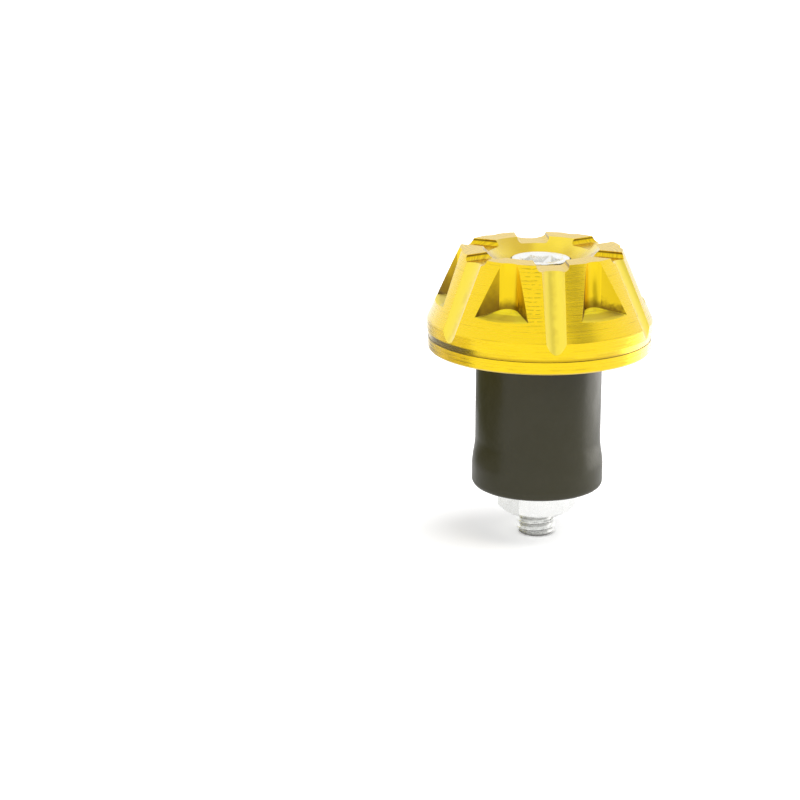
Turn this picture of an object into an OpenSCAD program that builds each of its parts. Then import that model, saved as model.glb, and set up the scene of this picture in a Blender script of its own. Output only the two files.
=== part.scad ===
// Bar end weight: a milled aluminium head, a rubber expander sleeve, a socket
// screw and a hex nut on one axis. The origin is the middle of the face that
// seats on the end of the handlebar, and +Z points out of the bar.

/* [Flange] */
// Radius of the lip that seats on the bar end
lip_r = 16; // [14:0.25:20]
// Height of the lip
lip_h = 1.8; // [1.2:0.1:3]
// Chamfer round the foot of the lip
lip_chamfer = 0.25; // [0.1:0.05:0.5]
// How far the band above the lip stands out over it
band_over = 0.15; // [0:0.05:0.4]
// Height of the band, with the turned relief under it
band_h = 2.6; // [2:0.1:4]
// Depth of the turned relief between the lip and the band
relief_depth = 0.35; // [0.1:0.05:0.8]
// Height of that relief
relief_h = 1; // [0.5:0.1:1.5]

/* [Cone and crown] */
// Height of the head
head_h = 14.5; // [13:0.25:18]
// Radius of the flat crown
crown_r = 11.6; // [11:0.1:12.5]
// Inner radius of the crown, where the dish starts
dish_r = 8.3; // [7.8:0.1:9]
// Depth of the dish, from the crown to the rim of the screw bore
dish_depth = 2.85; // [2:0.05:3.5]
// Width of the narrow chamfer at the rim of the screw bore
rim_chamfer = 0.2; // [0.1:0.05:0.4]

/* [Spokes, pockets and channels] */
// Number of spokes, and of the pockets between them
spokes = 6; // [6:1:8]
// Turn of the first spoke from -Y, anticlockwise seen from above
spoke_turn = 8.5; // [-30:0.5:30]
// Width of a spoke at the crown
spoke_w = 9; // [8.6:0.1:9.6]
// Angle by which each side of a spoke leans towards its middle line
spoke_taper = 15; // [12:1:18]
// Radius of the rounded nose of a pocket
nose_r = 2; // [1.2:0.1:2.4]
// Height of the pocket floor under the nose
pocket_z = 8; // [7:0.1:9]
// Fall of the pocket floor towards the flange, in degrees
pocket_fall = 16; // [0:1:20]
// Width of the groove across the crown on each spoke
groove_w = 4.6; // [4:0.1:5]
// Depth of that groove
groove_depth = 0.85; // [0.5:0.05:1.2]
// Radius in the bottom corners of the groove
groove_fillet = 0.75; // [0.2:0.05:0.8]
// Radius of the round channel down the face of each spoke
channel_r = 1.95; // [1.6:0.05:2]
// Distance from the axis at which a channel starts on the groove floor
channel_start = 11; // [10.6:0.1:11.3]
// Height at which a channel runs out on the band
channel_end = 2.9; // [2.9:0.1:3.5]

/* [Screw] */
// Thread radius, over the crests of an M6 thread
thread_r = 2.9; // [2.4:0.1:3]
// Length under the head
screw_len = 35; // [34:1:40]
// Radius of the screw head
screw_head_r = 4.35; // [4.25:0.05:5]
// Height of the screw head
screw_head_h = 6; // [5:0.25:7]
// Chamfer round the top of the screw head
screw_head_chamfer = 0.35; // [0.2:0.05:0.6]
// Width across the flats of the hex socket
socket_af = 5; // [4:0.5:5]
// Depth of the hex socket
socket_depth = 3; // [2.2:0.1:3.5]
// Radius of the countersunk mouth of the socket
socket_mouth_r = 3.05; // [2.95:0.05:3.3]
// Slope of that countersink, in degrees from the top of the head
mouth_slope = 30; // [15:5:40]
// Depth of the drill point in the floor of the socket
drill_point = 0.7; // [0.2:0.1:0.9]
// Chamfer at the tip of the thread
tip_chamfer = 0.5; // [0.2:0.05:0.7]
// Height of the seat under the screw head
seat_z = 7.1; // [6.8:0.1:7.6]

/* [Nut] */
// Width across the flats of the nut
nut_af = 9.8; // [9:0.1:10]
// Turn of the nut about the axis
nut_turn = 4; // [0:1:60]
// Height of the nut
nut_h = 4; // [3:0.25:5]
// Slope of the turned-off corners of the nut, in degrees
nut_slope = 30; // [15:5:35]
// Depth of the countersink at each end of the nut's thread
nut_mouth = 0.35; // [0.2:0.05:0.5]

/* [Sleeve] */
// Length of the rubber sleeve
sleeve_len = 20.9; // [16:0.1:22]
// Radius of the sleeve at its waist
sleeve_r = 9.08; // [8.5:0.02:9.3]
// Radius of the land at the lower end, which grips the bar
land_r = 9.5; // [9.4:0.05:10]
// Length of that land
land_len = 4; // [3:0.5:5]
// Length of the flare between the waist and the land
flare_len = 2.5; // [2:0.5:5]
// Radius of the sleeve against the flange
collar_r = 9.25; // [9.1:0.05:9.5]
// Length of the short flare against the flange
collar_len = 2; // [1:0.5:3]
// Rounding of the lower edge of the sleeve
sleeve_round = 0.6; // [0.3:0.05:0.9]
// Depth of the shallow recess under the flange that centres the sleeve
recess_depth = 0.4; // [0.2:0.05:0.8]

/* [Fits] */
// Gap all round between the screw head and its bore
screw_head_gap = 1; // [0.5:0.05:1.3]
// Running clearance between the thread and the hole in the head
hole_gap = 0.08; // [0.04:0.01:0.1]
// Running clearance between the thread and the nut
nut_gap = 0.05; // [0.03:0.01:0.1]
// Clearance between the thread and the bore of the sleeve
sleeve_gap = 0.35; // [0.3:0.05:0.8]
// Clearance round the sleeve in its recess
recess_gap = 0.3; // [0.1:0.05:0.5]

/* [Hidden] */
$fn = 128;

// Flange and crown
band_r = lip_r + band_over;
band_top = lip_h + band_h;
rim_z = head_h - dish_depth;
bore_r = screw_head_r + screw_head_gap;
hole_r = thread_r + hole_gap;
recess_r = collar_r + recess_gap;

// Pocket plan, worked out from the spokes on either side of it
half_pitch = 180 / spokes;
pocket_half = half_pitch + spoke_taper;
wall_x = (spoke_w / 2 + crown_r * tan(spoke_taper)) / (tan(half_pitch) + tan(spoke_taper));
apex_x = wall_x / cos(half_pitch);
nose_x = apex_x + nose_r / sin(pocket_half);
nose_edge = nose_x - nose_r;

// Channel, as a cylinder whose lowest line joins its start and its end
groove_z = head_h - groove_depth;
channel_lean = atan((band_r - channel_start) / (groove_z - channel_end));

// Screw and nut
screw_top = seat_z + screw_head_h;
screw_tip = seat_z - screw_len;
nut_top = recess_depth - sleeve_len;
nut_corner_r = nut_af / 2 / cos(30);
nut_face_r = 0.9 * nut_af / 2;
nut_edge = (nut_corner_r - nut_face_r) * tan(nut_slope);
nut_bore_r = thread_r + nut_gap;
socket_r = socket_af / 2 / cos(30);
drill_point_r = 0.8 * socket_af / 2;

// Length by which a cutter passes the surface it opens
over = 4;

module head() {
  color("gold")
    difference() {
      head_blank();
      for (i = [0 : spokes - 1])
        rotate([0, 0, spoke_turn - 90 + i * 360 / spokes]) {
          crown_groove();
          spoke_channel();
          rotate([0, 0, half_pitch]) pocket();
        }
    }
}

// The turned blank: recess for the sleeve, lip, relief, band, cone, crown, dish,
// screw bore and hole
module head_blank() {
  rotate_extrude()
    polygon([
      [hole_r, recess_depth],
      [recess_r, recess_depth],
      [recess_r, 0],
      [lip_r - lip_chamfer, 0],
      [lip_r, lip_chamfer],
      [lip_r, lip_h],
      [lip_r - relief_depth, lip_h],
      [band_r, lip_h + relief_h],
      [band_r, band_top],
      [crown_r, head_h],
      [dish_r, head_h],
      [bore_r + rim_chamfer, rim_z],
      [bore_r, rim_z - 2 * rim_chamfer],
      [bore_r, seat_z],
      [hole_r, seat_z]
    ]);
}

// One groove across the crown, with rounded bottom corners
module crown_groove() {
  translate([0, 0, groove_z])
    rotate([90, 0, 90])
      linear_extrude(band_r + over) {
        translate([-groove_w / 2, groove_fillet])
          square([groove_w, groove_depth + over]);
        translate([-groove_w / 2 + groove_fillet, 0])
          square([groove_w - 2 * groove_fillet, groove_depth + over]);
        for (side = [-1, 1])
          translate([side * (groove_w / 2 - groove_fillet), groove_fillet])
            circle(groove_fillet, $fn = 48);
      }
}

// The round channel down the face of a spoke, steeper than the cone, so that it
// grows shallow and narrow and runs out on the band
module spoke_channel() {
  translate([
    channel_start + channel_r * cos(channel_lean),
    0,
    groove_z + channel_r * sin(channel_lean)
  ])
    rotate([0, -channel_lean, 0])
      cylinder(r = channel_r, h = 4 * head_h, center = true);
}

// One pocket between two spokes: straight walls and a floor that falls outwards
module pocket() {
  reach = 2 * lip_r;
  intersection() {
    linear_extrude(head_h + over) pocket_plan(reach);
    translate([nose_edge, 0, pocket_z])
      rotate([0, pocket_fall, 0])
        translate([-over, -reach, 0])
          cube([reach + over, 2 * reach, head_h + over]);
  }
}

// Plan of a pocket: a V with a rounded nose, open towards the flange
module pocket_plan(reach) {
  tangent = [-nose_r * sin(pocket_half), nose_r * cos(pocket_half)];
  run = reach * [cos(pocket_half), sin(pocket_half)];
  translate([nose_x, 0]) circle(nose_r, $fn = 96);
  polygon([
    [nose_x + tangent[0], tangent[1]],
    [apex_x + run[0], run[1]],
    [apex_x + run[0], -run[1]],
    [nose_x + tangent[0], -tangent[1]]
  ]);
}

// The rubber sleeve: a short collar, a waist, a flare and a straight land, from
// the floor of its recess down to the nut
module sleeve() {
  land_top = nut_top + land_len;
  sleeve_bore_r = thread_r + sleeve_gap;
  color("darkslategray")
    rotate_extrude()
      polygon([
        [sleeve_bore_r, recess_depth],
        [collar_r, recess_depth],
        [collar_r, 0],
        [sleeve_r, -collar_len],
        [sleeve_r, land_top + flare_len],
        [land_r, land_top],
        for (a = [0 : 15 : 90]) [
          land_r - sleeve_round * (1 - cos(a)),
          nut_top + sleeve_round * (1 - sin(a))
        ],
        [sleeve_bore_r, nut_top]
      ]);
}

// The socket screw: chamfered head, hex socket and plain shank at thread size
module screw() {
  color("silver")
    difference() {
      rotate_extrude()
        polygon([
          [0, screw_tip],
          [thread_r - tip_chamfer, screw_tip],
          [thread_r, screw_tip + tip_chamfer],
          [thread_r, seat_z],
          [screw_head_r, seat_z],
          [screw_head_r, screw_top - screw_head_chamfer],
          [screw_head_r - screw_head_chamfer, screw_top],
          [0, screw_top]
        ]);
      translate([0, 0, screw_top - socket_depth])
        cylinder(r = socket_r, h = socket_depth + over, $fn = 6);
      socket_mouth();
      socket_drill_point();
    }
}

// The countersunk mouth of the hex socket
module socket_mouth() {
  rotate_extrude()
    polygon([
      [0, screw_top - socket_mouth_r * tan(mouth_slope)],
      [socket_mouth_r, screw_top],
      [socket_mouth_r, screw_top + over],
      [0, screw_top + over]
    ]);
}

// The cone that the drill leaves under the socket
module socket_drill_point() {
  floor_z = screw_top - socket_depth;
  rotate_extrude()
    polygon([
      [0, floor_z - drill_point],
      [drill_point_r, floor_z],
      [drill_point_r, floor_z + drill_point],
      [0, floor_z + drill_point]
    ]);
}

// The hex nut, with its corners turned off and its bore countersunk at both faces
module nut() {
  color("silver")
    translate([0, 0, nut_top - nut_h])
      difference() {
        intersection() {
          rotate([0, 0, nut_turn])
            cylinder(r = nut_corner_r, h = nut_h, $fn = 6);
          rotate_extrude()
            polygon([
              [0, 0],
              [nut_face_r, 0],
              [nut_corner_r, nut_edge],
              [nut_corner_r, nut_h - nut_edge],
              [nut_face_r, nut_h],
              [0, nut_h]
            ]);
        }
        nut_bore();
      }
}

// The nut's bore, wider by the depth of its countersink at each face
module nut_bore() {
  rotate_extrude()
    polygon([
      [0, -over],
      [nut_bore_r + nut_mouth + over, -over],
      [nut_bore_r, nut_mouth],
      [nut_bore_r, nut_h - nut_mouth],
      [nut_bore_r + nut_mouth + over, nut_h + over],
      [0, nut_h + over]
    ]);
}

head();
sleeve();
screw();
nut();
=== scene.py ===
"""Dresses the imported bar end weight: machined gold with broken edges, a moulded
rubber sleeve, a threaded socket screw and a hex nut, on a plain pale stage."""

import math

import bmesh
import bpy
from bpy.props import FloatProperty, FloatVectorProperty, IntProperty, PointerProperty
from mathutils import Matrix, Vector


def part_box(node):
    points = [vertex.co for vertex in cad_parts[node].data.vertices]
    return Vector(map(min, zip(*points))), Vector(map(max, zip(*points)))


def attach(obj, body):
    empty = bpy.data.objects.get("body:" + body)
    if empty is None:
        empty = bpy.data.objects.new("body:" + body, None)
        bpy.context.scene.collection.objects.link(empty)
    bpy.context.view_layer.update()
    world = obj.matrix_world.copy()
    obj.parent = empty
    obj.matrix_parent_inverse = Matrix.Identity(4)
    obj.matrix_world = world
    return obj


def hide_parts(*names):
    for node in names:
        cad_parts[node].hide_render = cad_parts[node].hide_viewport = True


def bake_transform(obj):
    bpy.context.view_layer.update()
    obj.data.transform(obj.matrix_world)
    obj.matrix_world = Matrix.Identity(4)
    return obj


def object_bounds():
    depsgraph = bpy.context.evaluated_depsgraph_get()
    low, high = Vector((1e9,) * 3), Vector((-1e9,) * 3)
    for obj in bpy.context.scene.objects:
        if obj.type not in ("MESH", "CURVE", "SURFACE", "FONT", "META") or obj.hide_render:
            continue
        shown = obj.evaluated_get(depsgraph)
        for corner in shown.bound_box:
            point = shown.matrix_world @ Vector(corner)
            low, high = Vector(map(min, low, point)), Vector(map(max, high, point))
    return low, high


bl_info = {
    "name": "Bar End Weight",
    "version": (1, 0, 0),
    "blender": (4, 5, 0),
    "location": "3D View > Sidebar > Bar End",
    "description": "Dresses the packed bar end weight and sets up its stage",
    "category": "Object",
}

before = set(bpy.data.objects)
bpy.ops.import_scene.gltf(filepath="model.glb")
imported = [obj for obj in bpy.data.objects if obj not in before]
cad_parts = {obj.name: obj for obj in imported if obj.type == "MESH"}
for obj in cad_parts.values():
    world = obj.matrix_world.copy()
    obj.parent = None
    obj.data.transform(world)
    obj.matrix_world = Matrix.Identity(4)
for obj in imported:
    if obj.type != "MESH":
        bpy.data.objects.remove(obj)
cad_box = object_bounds()

MM = 0.001
PHOTO_SIZE = 800
SENSOR_MM = 36.0

# Corners sharper than this are edges of the form, and flatter ones are facets
SHARP_ANGLE = math.radians(25)
# Triangles that lie this flat to each other belong to one plane
FLAT_ANGLE = math.radians(0.2)
# Points closer than this are one point
WELD = 0.0004 * MM
# Sides of each bar of the knurl, sides and rows of the screw's threaded tube, and
# sides and rows of the sleeve
BAR_SIDES = 8
SHANK_SIDES = 72
SHANK_ROWS = 264
SLEEVE_SIDES = 160
SLEEVE_ROWS = 80
# Steps of the sleeve's rounded foot
FOOT_STEPS = 8
# Plain bands under and over the screw's knurl, and how far the shank enters its head
KNURL_FOOT = 0.5 * MM
KNURL_RIM = 0.14 * MM
SHANK_ENTRY = 0.2 * MM
# A face this near a spoke's middle plane can be its channel's
CHANNEL_HALF = 2.1 * MM
# The crown's grooves lie within this depth of its top
CROWN_DEPTH = 1.2 * MM
# A turned face points outwards, and no further than this to the side
SIDEWAYS = 0.08
# Radius and height of the pocket floors at their noses, and their fall
NOSE_FOOT_R = 11.2 * MM
NOSE_FOOT_Z = 8.0 * MM
FLOOR_SLOPE = 0.287


class Bench:
    """Builds a node tree in few words. Most calls return the new node's output."""

    def __init__(self, tree):
        self.tree = tree

    def node(self, kind, inputs=None, **settings):
        """A new node with its settings, and with the given inputs fed."""
        made = self.tree.nodes.new(kind)
        for key, value in settings.items():
            setattr(made, key, value)
        for key, value in (inputs or {}).items():
            self.feed(made.inputs[key], value)
        return made

    def feed(self, socket, value):
        if isinstance(value, bpy.types.NodeSocket):
            self.tree.links.new(value, socket)
        else:
            socket.default_value = value

    def look(self, name, value):
        """Feeds the named input of the material's shader."""
        self.feed(self.tree.nodes["Principled BSDF"].inputs[name], value)

    def math(self, operation, *values, clamp=False):
        made = self.node("ShaderNodeMath", operation=operation, use_clamp=clamp)
        for socket, value in zip(made.inputs, values):
            self.feed(socket, value)
        return made.outputs[0]

    def times(self, first, second):
        return self.math("MULTIPLY", first, second)

    def plus(self, first, second):
        return self.math("ADD", first, second)

    def minus(self, first, second):
        return self.math("SUBTRACT", first, second)

    def absolute(self, value):
        return self.math("ABSOLUTE", value)

    def span(self, value, low, high, new_low=0.0, new_high=1.0, smooth=False):
        """Maps value from low..high to new_low..new_high, and holds it at the ends."""
        kind = "SMOOTHSTEP" if smooth else "LINEAR"
        made = self.node("ShaderNodeMapRange", interpolation_type=kind)
        for socket, number in zip(made.inputs, (value, low, high, new_low, new_high)):
            self.feed(socket, number)
        return made.outputs[0]

    def noise(self, place, size, detail=2.0, roughness=0.5, kind="3D", by="Vector"):
        """Noise whose grains are about size metres."""
        inputs = {by: place, "Scale": 1.0 / size, "Detail": detail, "Roughness": roughness}
        return self.node("ShaderNodeTexNoise", inputs, noise_dimensions=kind).outputs[0]

    def lines(self, along, size, detail, roughness):
        """Noise that changes along one number only."""
        return self.noise(along, size, detail, roughness, "1D", "W")

    def paint(self, socket, colour):
        """Feeds a socket with a colour of three numbers or of another node."""
        if isinstance(colour, bpy.types.NodeSocket):
            self.tree.links.new(colour, socket)
        else:
            socket.default_value = (*colour, 1.0)

    def mix_colour(self, share, first, second):
        """The first colour where share is 0, and the second where it is 1."""
        made = self.node("ShaderNodeMix", data_type="RGBA")
        self.feed(made.inputs[0], share)
        self.paint(made.inputs[6], first)
        self.paint(made.inputs[7], second)
        return made.outputs[2]

    def tint(self, share, first, second):
        """Colours the material as mix_colour does."""
        self.look("Base Color", self.mix_colour(share, first, second))

    def place(self):
        """The point on the piece, in the piece's own metres, and its x, y and z."""
        point = self.node("ShaderNodeTexCoord").outputs["Object"]
        return point, *self.node("ShaderNodeSeparateXYZ", {0: point}).outputs

    def bump(self, height, depth, strength=1.0, under=None):
        inputs = {"Strength": strength, "Distance": depth, "Height": height}
        if under is not None:
            inputs["Normal"] = under
        return self.node("ShaderNodeBump", inputs).outputs[0]

    def emboss(self, *values):
        """Gives the material the relief that bump makes."""
        self.look("Normal", self.bump(*values))

    def stretched(self, point, scale, rotation=(0.0, 0.0, 0.0)):
        inputs = {"Vector": point, "Scale": scale, "Rotation": rotation}
        return self.node("ShaderNodeMapping", inputs).outputs[0]


def length(name, description, millimetres):
    """A length, given in millimetres and kept in metres."""
    return FloatProperty(
        name=name,
        description=description,
        default=millimetres * MM,
        subtype="DISTANCE",
        unit="LENGTH",
    )


def turn(name, description, degrees):
    """An angle, given in degrees and kept in radians."""
    return FloatProperty(
        name=name,
        description=description,
        default=math.radians(degrees),
        subtype="ANGLE",
        unit="ROTATION",
    )


def number(name, description, default):
    """A plain number."""
    return FloatProperty(name=name, description=description, default=default)


def count(name, description, default, low):
    """A number of copies, at least low of them."""
    return IntProperty(name=name, description=description, default=default, min=low)


def colour(name, description, default):
    """A colour of three linear parts."""
    return FloatVectorProperty(
        name=name, description=description, default=default, size=3, subtype="COLOR"
    )


class HeadSettings(bpy.types.PropertyGroup):
    """Sizes and colours of the milled head"""

    edge: length("Broken edge", "Width of the broken edge along every sharp corner", 0.11)
    gold: colour("Gold", "Colour of the anodised aluminium, seen square on", (0.98, 0.69, 0.010))
    # Deep gold paints real dye tone in the tool marks, and also painted shade in the relief, the dish
    # and the shaded side walls
    deep_dye_and_shade: colour(
        "Deep gold", "Colour where the dye has taken more strongly", (0.62, 0.40, 0.003)
    )
    # Brown gold paints the tool's bold marks on a spoke, and painted shade in the pockets, under the
    # crown's edges and in the bore
    brown_marks_and_shade: colour("Brown gold", "Colour of pooled dye in the pockets", (0.22, 0.125, 0.001))
    # The channels' paler gold is painted light
    channel_gold: colour("Channel gold", "Colour of the round channels", (1.0, 0.80, 0.06))
    # The floors' paler gold is painted light at their backs
    floor_gold: colour("Floor gold", "Colour of the pocket floors", (1.0, 0.82, 0.02))
    # The dish's palest gold is partly painted light on its upper wall
    dish_gold: colour("Dish gold", "Colour of the dish where it is palest", (1.0, 0.76, 0.03))
    spoke_turn: turn(
        "Spoke turn", "Turn of the first spoke's middle line about the axis, from +X", -81.5
    )
    spokes: count("Spokes", "Number of spokes, and of the pockets between them", 6, 3)
    turning_pitch: length(
        "Turning pitch", "Distance between the lathe's stronger lines on the cone", 0.42
    )
    row_pitch: length("Row pitch", "Height between the bold lines on the spokes", 0.52)
    crown_z: length("Crown height", "Height of the crown's flat top", 14.5)
    relief_z: length(
        "Relief height", "Height of the corner between the lip and the relief above it", 1.8
    )
    relief_r: length("Relief radius", "Radius inside which that corner lies", 15.95)
    shallow_r: length("Shallow radius", "Radius to which it is brought out", 15.92)
    cutter_pitch: length(
        "Cutter pitch", "Distance between the marks that the end mill leaves", 0.34
    )


class SleeveSettings(bpy.types.PropertyGroup):
    """Sizes and colours of the rubber sleeve"""

    waist_r: length("Waist radius", "Radius of the sleeve between its collar and its flare", 9.08)
    collar_length: length("Collar length", "Length of the short flare under the flange", 2.0)
    land_length: length("Land length", "Length of the straight land above the nut", 3.2)
    flare_length: length("Flare length", "Length of the flare between the waist and the land", 4.0)
    foot_round: length("Foot rounding", "Radius of the rounded lower edge", 0.9)
    rubber: colour("Rubber", "Colour of the moulded rubber", (0.036, 0.033, 0.013))
    # This colour paints the bloom and scuffs, and also the painted highlight along the foot
    bloom_and_highlight: colour("Bloom", "Colour of the faint bloom on the rubber", (0.042, 0.039, 0.020))


class FastenerSettings(bpy.types.PropertyGroup):
    """Sizes and colours of the screw and the nut"""

    pitch: length("Thread pitch", "Rise of the thread in one turn", 1.0)
    thread_depth: length("Thread depth", "Height of the thread from its root to its crest", 0.52)
    thread_length: length("Threaded length", "Length of the thread from the screw's tip", 22)
    tip_chamfer: length("Tip chamfer", "Chamfer at the screw's tip", 0.5)
    edge: length("Broken edge", "Width of the broken edge along every sharp corner", 0.09)
    knurl_r: length("Knurl radius", "Radius of each rounded ridge of the knurl", 0.22)
    knurls: count("Knurls", "Number of ridges round the screw's head", 60, 24)
    thread_r: length("Crest radius", "Radius over the crests of the thread", 2.9)
    # This grey is painted shade on the thread's roots, the tip and the knurl
    shade_grey: colour("Grime", "Colour of oily plating on the thread and knurl", (0.16, 0.155, 0.14))
    plate: colour("Zinc plate", "Colour of the bright plating", (0.965, 0.97, 0.955))
    dull_plate: colour("Dull plate", "Colour of its clouded patches", (0.78, 0.79, 0.77))


class StageSettings(bpy.types.PropertyGroup):
    """The camera and the light"""

    focal_px: number("Focal length", "Focal length of the camera, in the photograph's pixels", 2434.0)
    distance: length(
        "Camera distance",
        "Distance from the camera to the middle of the flange's underside",
        350.7,
    )
    elevation: turn("Camera elevation", "Angle at which the camera looks down", 14.4)
    roll: turn("Camera roll", "Angle by which the object's top leans to the right in the view", 1.0)
    origin_x: number(
        "Origin across", "Pixel across the photograph at which the part's origin lies", 539.2
    )
    origin_y: number(
        "Origin down", "Pixel down the photograph at which the part's origin lies", 346.8
    )
    ambient: number("Ambient light", "Brightness of the room's walls as a light", 0.95)
    key_level: number(
        "Key light", "Brightness that the main light gives a white surface facing it", 0.5
    )
    fill_level: number(
        "Fill light", "Brightness that the second light gives a white surface facing it", 0.15
    )


def new_object(name, mesh):
    made = bpy.data.objects.new(name, mesh)
    bpy.context.scene.collection.objects.link(made)
    return made


def settle(piece):
    """Turns what the piece's modifiers make into its own plain mesh."""
    view = bpy.context.evaluated_depsgraph_get()
    mesh = bpy.data.meshes.new_from_object(
        piece.evaluated_get(view), preserve_all_data_layers=True, depsgraph=view
    )
    piece.modifiers.clear()
    piece.data = mesh
    mesh.name = piece.name
    return piece


def welded_copy(node, name):
    """A CAD node's mesh as a new object, with its loose triangles joined into planes."""
    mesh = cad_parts[node].data.copy()
    mesh.materials.clear()
    work = bmesh.new()
    work.from_mesh(mesh)
    bmesh.ops.remove_doubles(work, verts=work.verts, dist=WELD)
    bmesh.ops.dissolve_limit(
        work, angle_limit=FLAT_ANGLE, verts=work.verts, edges=work.edges
    )
    work.to_mesh(mesh)
    work.free()
    return new_object(name, mesh)


def break_edges(piece, width):
    """Rounds every sharp outer edge over width, and keeps the faces beside it flat."""
    mesh = piece.data
    work = bmesh.new()
    work.from_mesh(mesh)
    weight = work.edges.layers.float.new("bevel_weight_edge")
    for edge in work.edges:
        if len(edge.link_faces) == 2 and edge.calc_face_angle_signed() > SHARP_ANGLE:
            edge[weight] = 1.0
    work.to_mesh(mesh)
    work.free()
    mesh.shade_smooth()
    mesh.set_sharp_from_angle(angle=SHARP_ANGLE)
    bevel = piece.modifiers.new("broken_edges", "BEVEL")
    bevel.limit_method = "WEIGHT"
    bevel.width = width
    bevel.segments = 2
    bevel.use_clamp_overlap = True
    bevel.harden_normals = True
    bevel.miter_outer = "MITER_ARC"
    return settle(piece)


def finish_piece(piece, body, node):
    """Attaches a finished piece to its body, and hides the CAD node that it stands in for."""
    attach(piece, body)
    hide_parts(node)
    return piece


def new_material(name, colour, metallic, roughness):
    """A material with a bench for its nodes."""
    material = bpy.data.materials.new(name)
    material.use_nodes = True
    bench = Bench(material.node_tree)
    bench.look("Base Color", (*colour, 1.0))
    bench.look("Metallic", metallic)
    bench.look("Roughness", roughness)
    return material, bench


def anodised(name, settings, roughness, sheen=0.0, sheen_roughness=0.5):
    """Dyed and sealed aluminium: gold metal under a thin clear film."""
    material, bench = new_material(name, settings.gold, 1.0, roughness)
    bench.look("Sheen Weight", sheen)
    bench.look("Sheen Roughness", sheen_roughness)
    bench.look("Coat Weight", 0.2)
    bench.look("Coat Roughness", 0.14)
    bench.look("Coat IOR", 1.5)
    return material, bench


def polar(bench):
    """The point, its distance from the axis, and its height."""
    point, x, y, z = bench.place()
    square = bench.math("MULTIPLY_ADD", x, x, bench.times(y, y))
    return point, bench.math("SQRT", square), z


def across_spoke(bench, settings, radius):
    """Distance from the nearest spoke's middle plane, and the spokes turned past."""
    _, x, y, _ = bench.place()
    sector = 2 * math.pi / settings.spokes
    angle = bench.minus(bench.math("ARCTAN2", y, x), settings.spoke_turn)
    turned = bench.math("DIVIDE", angle, sector)
    beside = bench.minus(turned, bench.math("ROUND", turned))
    sine = bench.math("SINE", bench.times(beside, sector))
    return bench.times(radius, sine), turned


def chatter(bench, settings, point, radius, z):
    """1 on the bold, broken lines that the tool left on the first spoke."""
    across, turned = across_spoke(bench, settings, radius)
    across = bench.absolute(across)
    uneven = bench.math("MULTIPLY_ADD", bench.noise(point, 2.2 * MM), 0.5 * MM, z)
    rows = bench.math("FRACT", bench.math("DIVIDE", uneven, settings.row_pitch))
    off_line = bench.absolute(bench.minus(rows, 0.5))
    thin = bench.span(off_line, 0.05, 0.15, 1.0, 0.0)
    broken = bench.span(bench.noise(point, 0.8 * MM, 2.0), 0.4, 0.52)
    first = bench.span(bench.absolute(turned), 0.3, 0.5, 1.0, 0.0)
    # Beside the channel and short of the pockets, and above the cone's foot
    beside = bench.times(
        bench.span(across, 1.6 * MM, 2.1 * MM),
        bench.span(across, 3.6 * MM, 4.8 * MM, 1.0, 0.0),
    )
    high = bench.span(z, 5.5 * MM, 7.5 * MM)
    on_spoke = bench.times(bench.times(beside, first), high)
    return bench.times(bench.times(thin, broken), on_spoke)


def painted_relief_shade(bench, settings, z):
    """How strongly painted shade darkens the relief over the lip."""
    over_lip = bench.minus(z, settings.relief_z)
    wall = bench.span(over_lip, 0.0, 0.03 * MM)
    band = bench.span(over_lip, 0.2 * MM, 0.5 * MM, 0.95, 0.0)
    return bench.times(band, wall)


def turned_gold(settings):
    """Cone, band and lip: lathe lines round the axis, stronger in patches, with painted shade in the
    relief over the lip.
    """
    material, bench = anodised("turned_gold", settings, 0.24, 0.85, 0.4)
    point, radius, z = polar(bench)
    along = bench.minus(z, radius)
    lines = bench.lines(along, settings.turning_pitch, 3.0, 0.7)
    fine = bench.lines(along, settings.turning_pitch / 4, 2.0, 0.6)
    flat = bench.stretched(point, (1.0, 1.0, 3.0))
    patches = bench.span(bench.noise(flat, 3.0 * MM, 3.0), 0.4, 0.6)
    grooves = bench.times(bench.span(lines, 0.34, 0.46, 1.0, 0.0), patches)
    bold = chatter(bench, settings, point, radius, z)
    relief_shade = painted_relief_shade(bench, settings, z)
    shade = bench.math("MAXIMUM", bench.times(grooves, 0.5), relief_shade)
    face = bench.mix_colour(shade, settings.gold, settings.deep_dye_and_shade)
    bench.tint(bench.times(bold, 0.5), face, settings.brown_marks_and_shade)
    both = bench.math("MULTIPLY_ADD", fine, 0.4, lines)
    height = bench.times(both, bench.span(patches, 0.0, 1.0, 0.35, 1.0))
    cut_in = bench.minus(height, bold)
    bench.emboss(cut_in, 0.02 * MM)
    bench.look("Roughness", bench.span(lines, 0.3, 0.7, 0.2, 0.32))
    return material


def crown_gold(settings):
    """Crown pads and grooves: the arcs of a facing cutter, with painted shade just under the edges.
    """
    material, bench = anodised("crown_gold", settings, 0.26)
    _, radius, z = polar(bench)
    # The arcs run round a point beside the spoke's middle line
    across = bench.minus(across_spoke(bench, settings, radius)[0], 2.0 * MM)
    inward = bench.minus(radius, 6.0 * MM)
    square = bench.math("MULTIPLY_ADD", across, across, bench.times(inward, inward))
    arcs = bench.lines(bench.math("SQRT", square), settings.cutter_pitch, 2.0, 0.6)
    bench.emboss(arcs, 0.014 * MM)
    shade = bench.span(arcs, 0.35, 0.65, 0.7, 0.15)
    face = bench.mix_colour(shade, settings.gold, settings.deep_dye_and_shade)
    # Painted shade in a thin band just under the crown's edges
    under = bench.times(
        bench.span(z, settings.crown_z - 0.42 * MM, settings.crown_z - 0.24 * MM),
        bench.span(z, settings.crown_z - 0.13 * MM, settings.crown_z - 0.09 * MM, 1.0, 0.0),
    )
    bench.tint(under, face, settings.brown_marks_and_shade)
    return material


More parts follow.
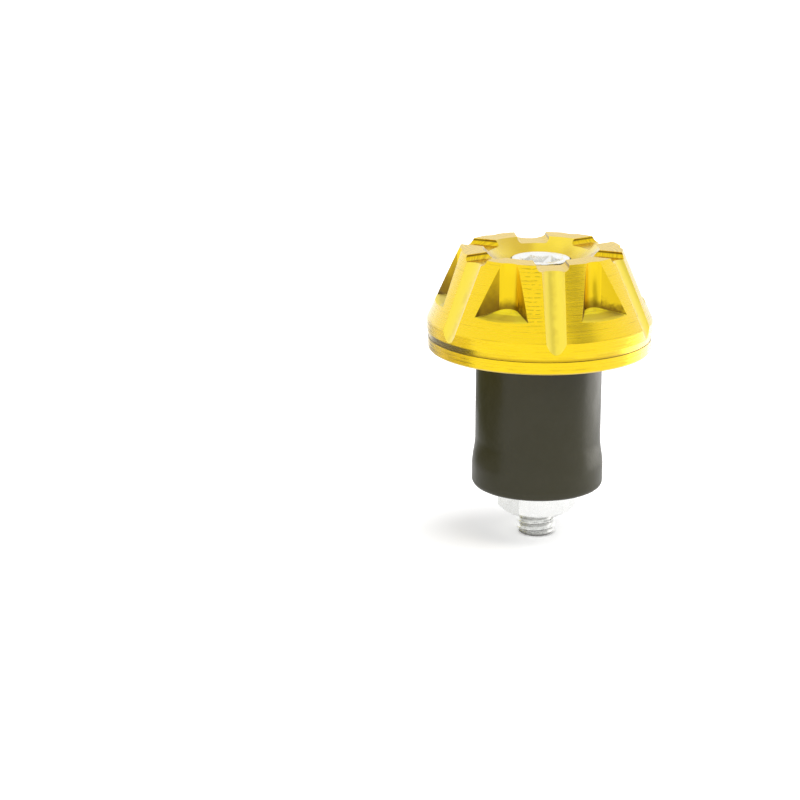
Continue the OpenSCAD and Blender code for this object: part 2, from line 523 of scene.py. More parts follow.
def channel_gold(settings):
    """The round channels: a soft finish in a paler gold, which is painted light, with a faint streak
    down the middle.
    """
    material, bench = anodised("channel_gold", settings, 0.4, 1.0)
    point, radius, z = polar(bench)
    across = across_spoke(bench, settings, radius)[0]
    lines = bench.lines(across, 0.5 * settings.cutter_pitch, 2.0, 0.6)
    steps = bench.lines(z, settings.cutter_pitch, 1.0, 0.5)
    height = bench.math("MULTIPLY_ADD", steps, 0.5, lines)
    bench.emboss(height, 0.006 * MM)
    middle = bench.span(bench.absolute(across), 0.1 * MM, 0.7 * MM, 0.25, 0.0, smooth=True)
    broken = bench.times(middle, bench.span(bench.noise(point, 1.6 * MM), 0.4, 0.6))
    bench.tint(broken, settings.channel_gold, settings.deep_dye_and_shade)
    return material


def above_pocket_floor(bench, radius, z):
    """Height over the pocket floors, which fall from their noses to the flange."""
    beyond = bench.minus(radius, NOSE_FOOT_R)
    fallen = bench.times(beyond, FLOOR_SLOPE)
    return bench.minus(bench.plus(z, fallen), NOSE_FOOT_Z)


def nose_gold(settings):
    """The upright noses that end the pockets: bright, with painted shade at the foot."""
    material, bench = anodised("nose_gold", settings, 0.28)
    point, radius, z = polar(bench)
    across = across_spoke(bench, settings, radius)[0]
    lines = bench.lines(across, settings.cutter_pitch, 3.0, 0.6)
    bench.emboss(lines, 0.006 * MM)
    cloud = bench.math("MULTIPLY_ADD", bench.noise(point, 1.4 * MM, 3.0), 1.6 * MM, -0.8 * MM)
    height = bench.plus(above_pocket_floor(bench, radius, z), cloud)
    # Painted shade: brown towards the foot, where the pocket is deepest
    dark = bench.span(height, 0.2 * MM, 1.7 * MM, 0.9, 0.0, smooth=True)
    bench.tint(dark, settings.gold, settings.brown_marks_and_shade)
    return material


def side_gold(name, settings, share, reach):
    """A pocket's side wall with painted shade: deeper in colour by share, and brown up to reach above
    the floor.
    """
    material, bench = anodised(name, settings, 0.3)
    point, radius, z = polar(bench)
    rings = bench.lines(radius, 0.7 * settings.cutter_pitch, 3.0, 0.6)
    bench.emboss(rings, 0.01 * MM)
    cloud = bench.math("MULTIPLY_ADD", bench.noise(point, 1.0 * MM, 4.0), 3.0 * MM, -1.5 * MM)
    height = bench.plus(above_pocket_floor(bench, radius, z), cloud)
    dark = bench.span(height, 0.0, reach, 1.0, 0.1, smooth=True)
    upper = [share * d + (1 - share) * g for g, d in zip(settings.gold, settings.deep_dye_and_shade)]
    bench.tint(dark, upper, settings.brown_marks_and_shade)
    return material


def rough_side_gold(settings):
    """The side walls that face anticlockwise round the axis, painted as the shaded ones."""
    return side_gold("rough_side_gold", settings, 1.0, 5.5 * MM)


def clean_side_gold(settings):
    """The side walls that face clockwise round the axis, painted as the lit ones."""
    return side_gold("clean_side_gold", settings, 0.2, 1.8 * MM)


def floor_gold(settings):
    """Pocket floors: arcs of the end mill, with painted light and shade: pale at the back and darker
    in front.
    """
    material, bench = anodised("floor_gold", settings, 0.45, 0.2)
    point, radius, _ = polar(bench)
    arcs = bench.lines(radius, 2.0 * settings.cutter_pitch, 3.0, 0.6)
    cloud = bench.noise(point, 1.8 * MM, 3.0)
    mixed = bench.math("MULTIPLY_ADD", bench.plus(arcs, cloud), 0.8 * MM, radius)
    # Painted shade over the front of the floor
    dark = bench.times(
        bench.span(mixed, 13.3 * MM, 13.9 * MM, 0.0, 0.4),
        bench.span(mixed, 15.1 * MM, 15.7 * MM, 1.0, 0.2),
    )
    bench.tint(dark, settings.floor_gold, settings.brown_marks_and_shade)
    # The back of the floor is shaded as if it fell away faster than its flat mesh
    crest = bench.span(mixed, 12.2 * MM, 13.8 * MM, 1.0, 0.0, smooth=True)
    under = bench.bump(crest, 0.5 * MM)
    bench.emboss(arcs, 0.03 * MM, 1.0, under)
    return material


def dish_gold(settings):
    """The dish, turned last with a fine feed, uneven in its dye, with painted light and shade: paler
    higher up and darker down towards the bore.
    """
    material, bench = anodised("dish_gold", settings, 0.16, 1.0)
    point, radius, z = polar(bench)
    rings = bench.lines(radius, 0.12 * MM, 2.0, 0.5)
    bench.emboss(rings, 0.003 * MM)
    cloud = bench.noise(point, 6.5 * MM, 1.0)
    bench.look("Roughness", bench.span(cloud, 0.3, 0.7, 0.12, 0.24))
    # Painted shade: darker down towards the bore
    deeper = bench.span(z, 11.6 * MM, 13.6 * MM, 0.75, 0.0, smooth=True)
    uneven = bench.span(cloud, 0.4, 0.65, 0.0, 0.75, smooth=True)
    dye_and_shade = bench.math("MAXIMUM", deeper, uneven)
    bench.tint(dye_and_shade, settings.dish_gold, settings.deep_dye_and_shade)
    return material


def bore_gold(settings):
    """The screw's bore, painted dark as shade."""
    material, bench = anodised("bore_gold", settings, 0.45)
    z = bench.place()[3]
    rings = bench.lines(z, 0.3 * MM, 2.0, 0.6)
    bench.emboss(rings, 0.01 * MM)
    darkest = [0.12 * c for c in settings.brown_marks_and_shade]
    dark = [0.5 * c for c in settings.brown_marks_and_shade]
    bench.tint(rings, darkest, dark)
    bench.look("Coat Weight", 0.1)
    return material


def zinc_plate(settings):
    """Bright zinc plate with faint handling marks, with painted shade in the roots of the thread and
    at the tip's lower edge.
    """
    material, bench = new_material("zinc_plate", settings.plate, 1.0, 0.24)
    point, radius, z = polar(bench)
    marks = bench.noise(point, 0.5 * MM, 4.0, 0.65)
    bench.emboss(marks, 0.0015 * MM, 0.6)
    bench.look("Roughness", bench.span(marks, 0.3, 0.7, 0.2, 0.34))
    cloud = bench.span(bench.noise(point, 1.6 * MM, 2.0), 0.45, 0.7, 0.0, 0.25)
    bright = bench.mix_colour(cloud, settings.plate, settings.dull_plate)
    crest_r = settings.thread_r
    # Painted shade in the roots of the thread, and along the tip's lower edge
    root = bench.span(radius, crest_r - 0.48 * MM, crest_r - 0.3 * MM, 0.5, 0.0)
    low = bench.span(z, 7.0 * MM, 7.1 * MM, 1.0, 0.0)
    end_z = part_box("screw")[0].z
    tip = bench.span(z, end_z + 0.25 * MM, end_z + 0.6 * MM, 0.9, 0.0)
    painted_shade = bench.math("MAXIMUM", bench.times(root, low), tip)
    bench.tint(painted_shade, bright, settings.shade_grey)
    return material


def grimy_zinc(settings):
    """The knurled side of the screw's head, painted dark as shade."""
    material, bench = new_material("grimy_zinc", settings.shade_grey, 1.0, 0.4)
    point = bench.place()[0]
    cloud = bench.noise(point, 0.6 * MM, 3.0)
    bench.emboss(cloud, 0.01 * MM)
    darker = [0.4 * c for c in settings.shade_grey]
    bench.tint(cloud, darker, settings.shade_grey)
    return material


def moulded_rubber(settings):
    """Dark rubber with a fine mould grain, a faint bloom, a few scuffs and a painted highlight along
    the rounded foot.
    """
    material, bench = new_material("moulded_rubber", settings.rubber, 0.0, 0.5)
    point, _, _, z = bench.place()
    bloom = bench.span(bench.noise(point, 5 * MM, 4.0, 0.6), 0.4, 0.75)
    slanted = bench.stretched(point, (1.0, 1.0, 4.0), (0.6, 0.3, 0.0))
    scuffs = bench.span(bench.noise(slanted, 3.0 * MM, 4.0, 0.7), 0.66, 0.72)
    # Painted highlight: a paler band along the foot's rounded edge
    edge_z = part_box("sleeve")[0].z + settings.foot_round
    above = bench.absolute(bench.minus(z, edge_z))
    rim = bench.span(above, 0.1 * MM, 0.6 * MM, 0.8, 0.0, smooth=True)
    pale = bench.math("MAXIMUM", bench.math("MAXIMUM", bloom, rim), scuffs)
    bench.tint(pale, settings.rubber, settings.bloom_and_highlight)
    grain = bench.noise(point, 0.16 * MM, 3.0, 0.6)
    slow = bench.noise(point, 1.8 * MM, 2.0, 0.5)
    under = bench.bump(slow, 0.07 * MM, 0.5)
    bench.emboss(grain, 0.012 * MM, 0.6, under)
    bench.look("Roughness", bench.span(pale, 0.0, 1.0, 0.3, 0.44))
    bench.look("Specular IOR Level", 0.34)
    return material


HEAD_FINISHES = {
    "turned": turned_gold,
    "crown": crown_gold,
    "channel": channel_gold,
    "nose": nose_gold,
    "shaded side": rough_side_gold,
    "lit side": clean_side_gold,
    "floor": floor_gold,
    "dish": dish_gold,
    "bore": bore_gold,
}


def head_sizes(settings):
    """Radii, heights and angles by which the head's faces are told apart."""
    points = [v.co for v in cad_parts["head"].data.vertices]
    top = max(p.z for p in points)
    band_r = max(p.xy.length for p in points)
    crown = [p.xy.length for p in points if p.z > top - WELD]
    screw_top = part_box("screw")[1].z
    return {
        "top": top,
        "band_r": band_r,
        "band_top": max(p.z for p in points if p.xy.length > band_r - WELD),
        "crown_r": max(crown),
        "dish_r": min(crown),
        "bore_r": min(p.xy.length for p in points if screw_top - 3 * MM < p.z),
        "sector": 2 * math.pi / settings.spokes,
        "turn": settings.spoke_turn,
    }


def finish_of(face, sizes):
    """Which cut made a face of the head."""
    slack = 0.05 * MM
    centre = face.center
    up = face.normal.z
    near_top = centre.z > sizes["top"] - CROWN_DEPTH
    radius = centre.xy.length
    outward = centre.xy.normalized().dot(face.normal.xy)
    share = (centre.z - sizes["band_top"]) / (sizes["top"] - sizes["band_top"])
    cone_r = sizes["band_r"] + share * (sizes["crown_r"] - sizes["band_r"])
    sectors = (math.atan2(centre.y, centre.x) - sizes["turn"]) / sizes["sector"]
    across = abs(radius * math.sin((sectors - round(sectors)) * sizes["sector"]))
    if centre.z < sizes["band_top"] + slack and radius > sizes["dish_r"]:
        inside = radius < sizes["band_r"] - slack
        on_channel = across < CHANNEL_HALF and up > 0.2 and inside
        return "channel" if on_channel else "turned"
    if radius < sizes["bore_r"] + 4 * slack:
        return "bore"
    if outward > 0.75 and abs(radius - cone_r) < 4 * slack:
        return "turned"
    if outward < -0.2 and up > 0.3 and radius < sizes["dish_r"] + slack:
        return "dish"
    if near_top and up > 0.99:
        return "crown"
    if across < CHANNEL_HALF and outward > 0.1:
        return "channel"
    if near_top and across < 3 * MM:
        return "crown"
    if up > 0.8:
        return "floor"
    tangential = (centre.x * face.normal.y - centre.y * face.normal.x) / radius
    if abs(tangential) < 0.8:
        return "nose"
    # Which way a side wall faces picks its shaded or its lit copy of the gold
    return "shaded side" if tangential > 0 else "lit side"


def fill_relief(piece, settings):
    """Brings the corner over the lip outwards, so that it shows as a shallow line."""
    for vert in piece.data.vertices:
        radius = vert.co.xy.length
        if abs(vert.co.z - settings.relief_z) < WELD and radius < settings.relief_r:
            vert.co.xy *= settings.shallow_r / radius


def paint_head(piece, settings):
    """Gives each face of the head the finish of the cut that made it."""
    names = list(HEAD_FINISHES)
    for name in names:
        piece.data.materials.append(HEAD_FINISHES[name](settings))
    sizes = head_sizes(settings)
    for face in piece.data.polygons:
        face.material_index = names.index(finish_of(face, sizes))


def true_round_normals(piece, names):
    """Gives the faces of the named finishes the normals of a true turned surface."""
    mesh = piece.data
    normals = [corner.vector.copy() for corner in mesh.corner_normals]
    slots = [i for i, material in enumerate(mesh.materials) if material.name in names]
    for face in mesh.polygons:
        if face.material_index not in slots:
            continue
        out = face.center.xy.normalized()
        if abs(out.x * face.normal.y - out.y * face.normal.x) > SIDEWAYS:
            continue
        outward = math.copysign(face.normal.xy.length, out.dot(face.normal.xy))
        for i in face.loop_indices:
            spot = mesh.vertices[mesh.loops[i].vertex_index].co.xy.normalized()
            normals[i] = Vector((spot.x * outward, spot.y * outward, face.normal.z))
    mesh.normals_split_custom_set(normals)


def new_tree(name, lengths, counts):
    """A new tree with named inputs, its bench and the sockets of its inputs."""
    tree = bpy.data.node_groups.new(name, "GeometryNodeTree")
    face = tree.interface
    face.new_socket("Geometry", in_out="OUTPUT", socket_type="NodeSocketGeometry")
    kinds = {"Float": lengths, "Int": counts, "Material": ("Material",)}
    for kind, labels in kinds.items():
        for label in labels:
            face.new_socket(label, in_out="INPUT", socket_type="NodeSocket" + kind)
    bench = Bench(tree)
    return tree, bench, bench.node("NodeGroupInput").outputs


def end_tree(bench, geometry, material):
    """Makes the instances real, gives them the material and hands them out."""
    real = bench.node("GeometryNodeRealizeInstances", {"Geometry": geometry}).outputs[0]
    inputs = {"Geometry": real, "Material": material}
    coated = bench.node("GeometryNodeSetMaterial", inputs).outputs[0]
    bench.node("NodeGroupOutput", {"Geometry": coated})


def thread_tree():
    """Geometry Nodes for a screw's shank: a fine tube whose radius follows a helix.

    Row by row the tube climbs the thread, and its last row is the plain shank's end.
    """
    tree, bench, given = new_tree(
        "threaded_shank",
        ("Bottom", "Thread Top", "Shank Top", "Radius", "Depth", "Pitch", "Chamfer"),
        ("Sides", "Rows"),
    )
    sides, rows = given["Sides"], given["Rows"]
    sizes = {"Vertices": sides, "Side Segments": rows, "Radius": 1.0, "Depth": rows}
    tube = bench.node("GeometryNodeMeshCylinder", sizes, fill_type="NGON")
    spot = bench.node("GeometryNodeInputPosition").outputs[0]
    x, y, z = bench.node("ShaderNodeSeparateXYZ", {0: spot}).outputs
    half = bench.times(rows, 0.5)
    row = bench.plus(z, half)
    last = bench.minus(rows, 1.0)
    rise = bench.math("DIVIDE", bench.minus(given["Thread Top"], given["Bottom"]), last)
    on_thread = bench.math("MULTIPLY_ADD", bench.math("MINIMUM", row, last), rise, given["Bottom"])
    is_top = bench.math("GREATER_THAN", row, bench.plus(last, 0.5))
    plain = bench.minus(given["Shank Top"], given["Thread Top"])
    height = bench.math("MULTIPLY_ADD", is_top, plain, on_thread)

    angle = bench.math("ARCTAN2", y, x)
    turns = bench.math("DIVIDE", angle, 2 * math.pi)
    wound = bench.minus(bench.math("DIVIDE", height, given["Pitch"]), turns)
    saw = bench.math("FRACT", wound)
    tooth = bench.absolute(bench.math("MULTIPLY_ADD", saw, 2.0, -1.0))
    # A flat crest an eighth of the pitch wide, and a root a fifth of it wide
    flank = bench.span(tooth, 0.125, 0.8, 1.0, 0.0)
    runout_low = bench.minus(given["Thread Top"], given["Pitch"])
    runout = bench.span(height, runout_low, given["Thread Top"])
    filled = bench.math("MAXIMUM", flank, runout)
    root = bench.minus(given["Radius"], given["Depth"])
    threaded = bench.math("MULTIPLY_ADD", filled, given["Depth"], root)
    climb = bench.minus(height, given["Bottom"])
    cone = bench.plus(bench.minus(given["Radius"], given["Chamfer"]), climb)
    radius = bench.math("MINIMUM", threaded, cone)

    spots = {0: bench.times(radius, x), 1: bench.times(radius, y), 2: height}
    moved = bench.node("ShaderNodeCombineXYZ", spots).outputs[0]
    places = {"Geometry": tube.outputs["Mesh"], "Position": moved}
    put = bench.node("GeometryNodeSetPosition", places).outputs[0]
    smooth = bench.node("GeometryNodeSetShadeSmooth", {"Geometry": put}).outputs[0]
    end_tree(bench, smooth, given["Material"])
    return tree


def grow(name, tree, **sizes):
    """A plain mesh that the tree makes from the named sizes."""
    piece = new_object(name, bpy.data.meshes.new(name))
    modifier = piece.modifiers.new(tree.name, "NODES")
    modifier.node_group = tree
    for item in tree.interface.items_tree:
        if item.item_type == "SOCKET" and item.in_out == "INPUT":
            key = item.name.lower().replace(" ", "_")
            modifier[item.identifier] = sizes[key]
    return settle(piece)


def join(pieces, name):
    """One object from several, with every face and material kept."""
    materials = []
    work = bmesh.new()
    for piece in pieces:
        first = len(work.faces)
        work.from_mesh(piece.data)
        work.faces.ensure_lookup_table()
        for face in work.faces[first:]:
            material = piece.data.materials[face.material_index]
            if material not in materials:
                materials.append(material)
            face.material_index = materials.index(material)
    mesh = bpy.data.meshes.new(name)
    for material in materials:
        mesh.materials.append(material)
    work.to_mesh(mesh)
    work.free()
    for piece in pieces:
        bpy.data.objects.remove(piece)
    mesh.set_sharp_from_angle(angle=SHARP_ANGLE)
    return new_object(name, mesh)


def knurl_tree():
    """Geometry Nodes for a straight knurl: one round bar for each ridge, in a ring."""
    tree, bench, given = new_tree(
        "straight_knurl", ("Low", "High", "Outer Radius", "Bar Radius"), ("Count",)
    )
    reach = bench.minus(given["Outer Radius"], given["Bar Radius"])
    sizes = {"Vertices": given["Count"], "Radius": reach}
    ring = bench.node("GeometryNodeMeshCircle", sizes).outputs["Mesh"]
    depth = bench.minus(given["High"], given["Low"])
    sizes = {"Vertices": BAR_SIDES, "Radius": given["Bar Radius"], "Depth": depth}
    bar = bench.node("GeometryNodeMeshCylinder", sizes, fill_type="NGON").outputs["Mesh"]
    copies = {"Points": ring, "Instance": bar}
    set_out = bench.node("GeometryNodeInstanceOnPoints", copies).outputs[0]
    middle = bench.times(bench.plus(given["Low"], given["High"]), 0.5)
    lift = bench.node("ShaderNodeCombineXYZ", {2: middle}).outputs[0]
    moves = {"Geometry": set_out, "Translation": lift}
    raised = bench.node("GeometryNodeTransform", moves).outputs[0]
    end_tree(bench, raised, given["Material"])
    return tree


def screw_head(settings, material):
    """The CAD screw's own head, cut from its plain shank, closed, and knurled."""
    piece = welded_copy("screw", "screw_head")
    head_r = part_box("screw")[1].x
    core_r = head_r - settings.knurl_r
    work = bmesh.new()
    work.from_mesh(piece.data)
    side = [v.co.z for v in work.verts if v.co.xy.length > head_r - 10 * WELD]
    seat, top = min(side), max(v.co.z for v in work.verts)
    below = [v for v in work.verts if v.co.z < seat - WELD]
    bmesh.ops.delete(work, geom=below, context="VERTS")
    rim = [e for e in work.edges if e.is_boundary]
    bmesh.ops.holes_fill(work, edges=rim)
    for vert in work.verts:
        if vert.co.xy.length > 0.9 * head_r:
            vert.co.xy *= core_r / vert.co.xy.length
    bmesh.ops.recalc_face_normals(work, faces=work.faces)
    work.to_mesh(piece.data)
    work.free()
    piece.data.materials.append(material)
    break_edges(piece, settings.edge)
    knurl = grow(
        "screw_knurl",
        knurl_tree(),
        low=seat + KNURL_FOOT,
        high=top - KNURL_RIM,
        outer_radius=head_r,
        bar_radius=settings.knurl_r,
        count=settings.knurls,
        material=grimy_zinc(settings),
    )
    return piece, knurl, seat


def lathe(name, outline, sides):
    """A closed mesh from an outline of (radius, height) points, turned about Z."""
    work = bmesh.new()
    rings = []
    for radius, height in outline:
        ring = []
        for i in range(sides):
            a = 2 * math.pi * i / sides
            ring.append(work.verts.new((radius * math.cos(a), radius * math.sin(a), height)))
        rings.append(ring)
    for lower, upper in zip(rings, rings[1:] + rings[:1]):
        for i in range(sides):
            j = (i + 1) % sides
            work.faces.new((lower[i], lower[j], upper[j], upper[i]))
    bmesh.ops.recalc_face_normals(work, faces=work.faces)
    mesh = bpy.data.meshes.new(name)
    work.to_mesh(mesh)
    work.free()
    mesh.shade_smooth()
    mesh.set_sharp_from_angle(angle=SHARP_ANGLE)
    return new_object(name, mesh)


def ease(share):
    """A soft step from 0 to 1."""
    share = min(1.0, max(0.0, share))
    return share * share * (3 - 2 * share)


def sleeve_outline(settings):
    """The sleeve's section: bore, collar, waist, flare, land and rounded foot."""
    low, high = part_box("sleeve")
    points = [v.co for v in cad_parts["sleeve"].data.vertices]
    bore_r = min(p.xy.length for p in points)
    collar_r = max(p.xy.length for p in points if p.z > -WELD)
    land_r = high.x
    waist_r = settings.waist_r
    foot = settings.foot_round
    land_top = low.z + settings.land_length
    edge = 0.1 * MM
    outline = [(bore_r, low.z), (bore_r, high.z)]
    outline += [(collar_r - edge, high.z), (collar_r, high.z - edge)]
    first, last = high.z - 2 * edge, low.z + foot
    for i in range(SLEEVE_ROWS):
        height = first + (last - first) * i / SLEEVE_ROWS
        collar = ease((height + settings.collar_length) / settings.collar_length)
        flare = ease((land_top + settings.flare_length - height) / settings.flare_length)
        radius = waist_r + (collar_r - waist_r) * collar + (land_r - waist_r) * flare
        outline.append((radius, height))
    for i in range(FOOT_STEPS + 1):
        a = math.radians(90 * i / FOOT_STEPS)
        outline.append((land_r - foot * (1 - math.cos(a)), low.z + foot * (1 - math.sin(a))))
    return outline


class BAREND_OT_head(bpy.types.Operator):
    """Dress the milled head with broken edges and the marks of its cutters"""

    bl_idname = "bar_end.head"
    bl_label = "Milled head"

    def execute(self, context):
        settings = context.scene.bar_end_head
        piece = welded_copy("head", "milled_head")
        fill_relief(piece, settings)
        paint_head(piece, settings)
        break_edges(piece, settings.edge)
        true_round_normals(piece, ("turned_gold", "crown_gold", "dish_gold", "bore_gold"))
        finish_piece(piece, "head", "head")
        return {"FINISHED"}


class BAREND_OT_sleeve(bpy.types.Operator):
    """Make the moulded rubber sleeve"""

    bl_idname = "bar_end.sleeve"
    bl_label = "Rubber sleeve"

    def execute(self, context):
        settings = context.scene.bar_end_sleeve
        piece = lathe("rubber_sleeve", sleeve_outline(settings), SLEEVE_SIDES)
        piece.data.materials.append(moulded_rubber(settings))
        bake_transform(piece)
        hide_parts("sleeve")
        return {"FINISHED"}


class BAREND_OT_screw(bpy.types.Operator):
    """Make the socket screw with its rolled thread"""

    bl_idname = "bar_end.screw"
    bl_label = "Socket screw"

    def execute(self, context):
        settings = context.scene.bar_end_fasteners
        material = zinc_plate(settings)
        head, knurl, seat = screw_head(settings, material)
        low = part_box("screw")[0]
        tip = [v.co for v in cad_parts["screw"].data.vertices if v.co.z < low.z + 1 * MM]
        shank = grow(
            "screw_shank",
            thread_tree(),
            bottom=low.z,
            thread_top=low.z + settings.thread_length,
            shank_top=seat + SHANK_ENTRY,
            radius=max(point.xy.length for point in tip),
            depth=settings.thread_depth,
            pitch=settings.pitch,
            chamfer=settings.tip_chamfer,
            sides=SHANK_SIDES,
            rows=SHANK_ROWS,
            material=material,
        )
        piece = join([head, knurl, shank], "socket_screw")
        finish_piece(piece, "screw", "screw")
        return {"FINISHED"}


class BAREND_OT_nut(bpy.types.Operator):
    """Dress the hex nut"""

    bl_idname = "bar_end.nut"
    bl_label = "Hex nut"

    def execute(self, context):
        settings = context.scene.bar_end_fasteners
        piece = welded_copy("nut", "hex_nut")
        piece.data.materials.append(zinc_plate(settings))
        break_edges(piece, settings.edge)
        finish_piece(piece, "nut", "nut")
        return {"FINISHED"}


# Azimuth, elevation and angular width, in degrees, of the two soft lights
KEY_LIGHT = (75, 75, 50)
FILL_LIGHT = (110, 25, 40)
# Middle, azimuth, elevation, width, height and colour of each card
CARDS = {
    "right_card": ((0.176, -0.172, 0.168), 46, 34, 0.14, 0.2, (0.5, 0.5, 0.5)),
    "low_left_card": ((-0.045, 0.02, -0.02), -90, 0, 0.085, 0.016, (0.10, 0.10, 0.03)),
    "high_left_card": ((-0.045, 0.02, -0.0075), -90, 0, 0.085, 0.009, (0.75, 0.66, 0.06)),
    "right_glow": ((0.05, 0.045, -0.018), 90, 0, 0.09, 0.018, (2.8, 2.75, 2.65)),
}
# How pale the floor's paper is as a light and in view
PAPER_BOUNCE = 0.9
PAPER_SEEN = 1.4
# Strength of the floor's glow, and its share, in reflections
FLOOR_GLOW = 1.1
GLOW_SHARE = 0.4
# Half the width of the floor, in metres
FLOOR_REACH = 3.0


def seen_straight(bench):
    """1 for rays from the camera, mirrors and glass, and 0 for the rest."""
    path = bench.node("ShaderNodeLightPath").outputs
    direct = bench.plus(path["Is Camera Ray"], path["Is Glossy Ray"])
    return bench.math("ADD", direct, path["Is Transmission Ray"], clamp=True)


def make_world(settings):
    """A room that is white to the camera and in reflections, and dimmer overhead
    as a light."""
    world = bpy.data.worlds.new("pale_room")
    world.use_nodes = True
    bench = Bench(world.node_tree)
    background = world.node_tree.nodes["Background"]
    background.inputs["Color"].default_value = (1.0, 1.0, 1.0, 1.0)
    way = bench.node("ShaderNodeTexCoord").outputs["Generated"]
    up = bench.node("ShaderNodeSeparateXYZ", {0: way}).outputs[2]
    walls = bench.span(up, 0.72, 0.9, settings.ambient, 0.1 * settings.ambient)
    shares = {0: seen_straight(bench), 2: walls, 3: 1.0}
    strength = bench.node("ShaderNodeMix", shares, data_type="FLOAT").outputs[0]
    bench.feed(background.inputs["Strength"], strength)
    bpy.context.scene.world = world


def panel(name, width, height, place):
    """A flat panel with an empty material: its object, its bench and its surface.

    Place moves each corner from the XY plane to where it belongs.
    """
    signs = ((-1, -1), (1, -1), (1, 1), (-1, 1))
    corners = [place(Vector((i * width / 2, j * height / 2, 0))) for i, j in signs]
    mesh = bpy.data.meshes.new(name)
    mesh.from_pydata(corners, [], [(0, 1, 2, 3)])
    material = bpy.data.materials.new(name)
    material.use_nodes = True
    mesh.materials.append(material)
    nodes = material.node_tree.nodes
    nodes.remove(nodes["Principled BSDF"])
    surface = nodes["Material Output"].inputs["Surface"]
    return new_object(name, mesh), Bench(material.node_tree), surface


def make_floor():
    """A wide pale floor that shows white and keeps the object's soft shadow.

    It is paler in view than in its bounce light, and glows a little in reflections.
    """
    down = Vector((0, 0, cad_box[0].z))
    wide = 2 * FLOOR_REACH
    floor, bench, surface = panel("pale_floor", wide, wide, lambda corner: corner + down)
    path = bench.node("ShaderNodeLightPath").outputs
    paper = bench.span(path["Is Camera Ray"], 0.0, 1.0, PAPER_BOUNCE, PAPER_SEEN)
    matt = bench.node("ShaderNodeBsdfDiffuse", {"Color": paper}).outputs[0]
    glow = bench.node("ShaderNodeEmission", {"Strength": FLOOR_GLOW}).outputs[0]
    share = bench.times(path["Is Glossy Ray"], GLOW_SHARE)
    mix = bench.node("ShaderNodeMixShader", {0: share, 1: matt, 2: glow}).outputs[0]
    bench.feed(surface, mix)


def soft_light(name, azimuth, elevation, width, level):
    """A distant soft light, as wide as the given angle, that metal doesn't mirror.

    Level is the brightness that it gives a white surface facing it.
    """
    data = bpy.data.lights.new(name, "SUN")
    data.angle = math.radians(width)
    data.energy = math.pi * level
    lamp = new_object(name, data)
    lamp.rotation_euler = (math.radians(90 - elevation), 0.0, math.radians(azimuth))
    lamp.visible_glossy = False


def card(name, middle, azimuth, elevation, width, height, colour):
    """A glowing card beside the object that shows only in its reflections.

    It stands square to the given azimuth, counted from the camera towards the right,
    and to the given elevation.
    """
    turned = Matrix.Rotation(math.radians(azimuth), 3, "Z") @ Matrix.Rotation(
        math.radians(90 - elevation), 3, "X"
    )
    centre = Vector(middle)
    made, bench, surface = panel(name, width, height, lambda corner: turned @ corner + centre)
    clouds = bench.noise(bench.place()[0], 14 * MM, 3.0)
    streaks = bench.span(clouds, 0.35, 0.65, 0.6, 1.4)
    inputs = {"Color": (*colour, 1.0), "Strength": streaks}
    bench.feed(surface, bench.node("ShaderNodeEmission", inputs).outputs[0])
    made.visible_camera = False
    made.visible_diffuse = False
    made.visible_shadow = False


def photo_camera(settings):
    """The photograph's camera: it looks down at the part, which lies off centre."""
    back = Vector((0.0, -math.cos(settings.elevation), math.sin(settings.elevation)))
    right = Vector((1.0, 0.0, 0.0))
    up = right.cross(-back)
    c, s = math.cos(settings.roll), math.sin(settings.roll)
    rows = Matrix((c * right + s * up, c * up - s * right, back))
    aim = Vector((
        (settings.origin_x - PHOTO_SIZE / 2) / settings.focal_px,
        (PHOTO_SIZE / 2 - settings.origin_y) / settings.focal_px,
        -1.0,
    ))
    swing = Vector((0.0, 0.0, -1.0)).rotation_difference(aim).to_matrix()
    data = bpy.data.cameras.new("photo_camera")
    data.sensor_width = SENSOR_MM
    data.lens = settings.focal_px * SENSOR_MM / PHOTO_SIZE
    data.clip_start = 0.01
    data.clip_end = 20.0
    camera = new_object("photo_camera", data)
    facing = (swing @ rows).transposed().to_4x4()
    camera.matrix_world = Matrix.Translation(back * settings.distance) @ facing
    bpy.context.scene.camera = camera


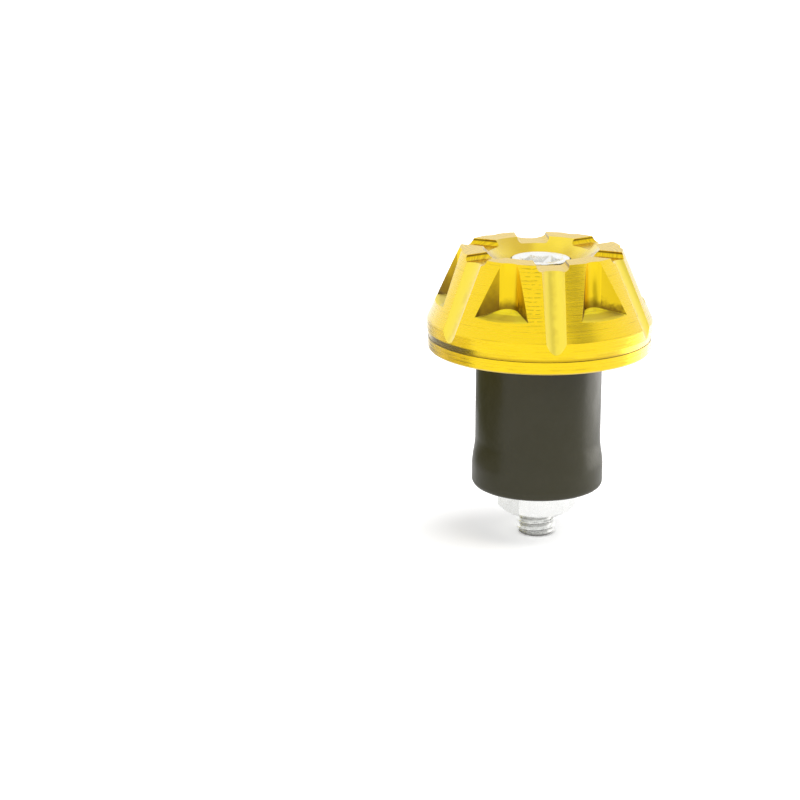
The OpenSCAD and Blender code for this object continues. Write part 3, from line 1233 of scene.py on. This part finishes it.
class BAREND_OT_stage(bpy.types.Operator):
    """Set up the pale floor, the soft lights and the photograph's camera"""

    bl_idname = "bar_end.stage"
    bl_label = "Stage"

    def execute(self, context):
        settings = context.scene.bar_end_stage
        make_world(settings)
        make_floor()
        photo_camera(settings)
        soft_light("key_light", *KEY_LIGHT, settings.key_level)
        soft_light("fill_light", *FILL_LIGHT, settings.fill_level)
        for name, values in CARDS.items():
            card(name, *values)
        context.scene.view_settings.view_transform = "Standard"
        return {"FINISHED"}


class VIEW3D_PT_bar_end(bpy.types.Panel):
    """The pieces of the bar end weight, with their sizes and colours"""

    bl_label = "Bar End Weight"
    bl_space_type = "VIEW_3D"
    bl_region_type = "UI"
    bl_category = "Bar End"

    def draw(self, context):
        scene = context.scene
        groups = (
            (scene.bar_end_head, ("head",)),
            (scene.bar_end_sleeve, ("sleeve",)),
            (scene.bar_end_fasteners, ("screw", "nut")),
            (scene.bar_end_stage, ("stage",)),
        )
        for settings, makers in groups:
            box = self.layout.box()
            for name in settings.bl_rna.properties.keys():
                if name not in ("rna_type", "name"):
                    box.prop(settings, name)
            for maker in makers:
                box.operator("bar_end." + maker)


SETTINGS = {
    "bar_end_head": HeadSettings,
    "bar_end_sleeve": SleeveSettings,
    "bar_end_fasteners": FastenerSettings,
    "bar_end_stage": StageSettings,
}
OPERATORS = (BAREND_OT_head, BAREND_OT_sleeve, BAREND_OT_screw, BAREND_OT_nut, BAREND_OT_stage)
CLASSES = (*SETTINGS.values(), *OPERATORS, VIEW3D_PT_bar_end)


def register():
    for item in CLASSES:
        bpy.utils.register_class(item)
    for name, group in SETTINGS.items():
        setattr(bpy.types.Scene, name, PointerProperty(type=group))


def unregister():
    for name in SETTINGS:
        delattr(bpy.types.Scene, name)
    for item in reversed(CLASSES):
        bpy.utils.unregister_class(item)


def main():
    register()
    bpy.ops.bar_end.head()
    bpy.ops.bar_end.sleeve()
    bpy.ops.bar_end.screw()
    bpy.ops.bar_end.nut()
    bpy.ops.bar_end.stage()


if __name__ == "__main__":
    main()
